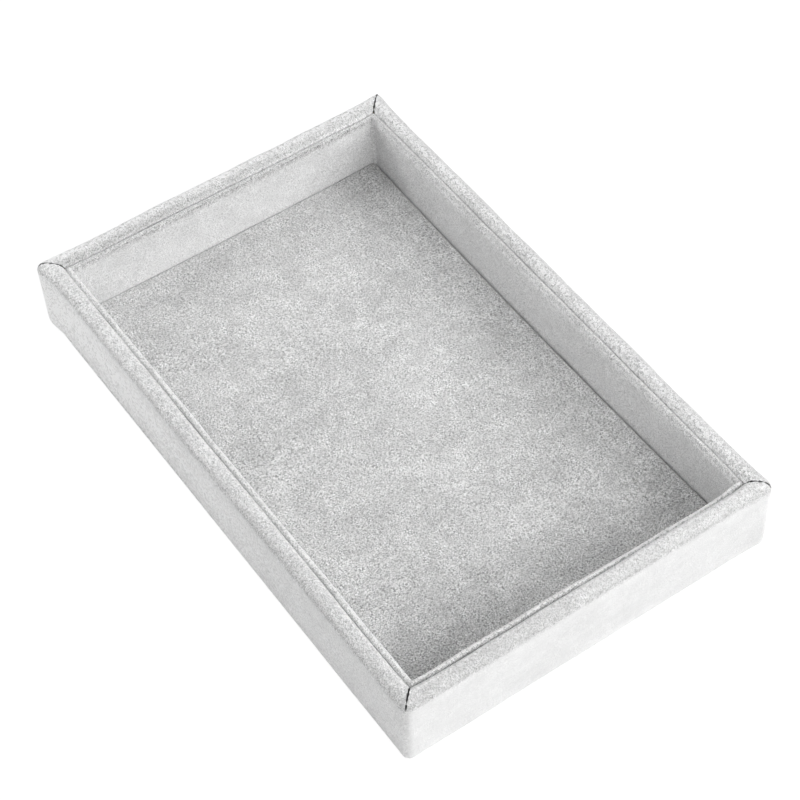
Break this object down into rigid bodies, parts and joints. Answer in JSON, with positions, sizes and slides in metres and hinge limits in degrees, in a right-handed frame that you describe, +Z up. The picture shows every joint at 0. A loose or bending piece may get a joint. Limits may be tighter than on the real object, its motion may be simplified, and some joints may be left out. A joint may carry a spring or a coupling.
{
  "type": "jewelry tray",
  "caption": "Shallow open rectangular tray with a padded rim, a separate inner liner and a padded floor, covered all over in short-pile grey velvet.",
  "frame": {"origin": "centre of the underside, on the surface that the tray stands on", "axes": "+X along the long side, +Y along the short side, +Z up out of the tray"},
  "size_m": [0.28, 0.18, 0.04],
  "materials": {
    "velvet": "short-pile ice velvet, light grey, brushed in patches",
    "lining_cloth": "flat felted lining sheet, grey",
    "fibreboard": "raw medium density fibreboard",
    "greyboard": "uncoated grey cardboard",
    "foam": "soft open-cell foam",
    "steel_wire": "bright drawn wire"
  },
  "bodies": {
    "root": {"outer_cover": "velvet", "floor_cover": "velvet", "front_liner_cover": "velvet", "right_liner_cover": "velvet", "back_liner_cover": "velvet", "left_liner_cover": "velvet", "base_lining": "lining_cloth", "base_board": "fibreboard", "front_rail": "fibreboard", "right_rail": "fibreboard", "back_rail": "fibreboard", "left_rail": "fibreboard", "front_rim_pad": "foam", "right_rim_pad": "foam", "back_rim_pad": "foam", "left_rim_pad": "foam", "floor_foam": "foam", "front_liner_board": "greyboard", "right_liner_board": "greyboard", "back_liner_board": "greyboard", "left_liner_board": "greyboard", "floor_board": "greyboard", "corner_brads": "steel_wire", "base_brads": "steel_wire"}
  },
  "joints": []
}
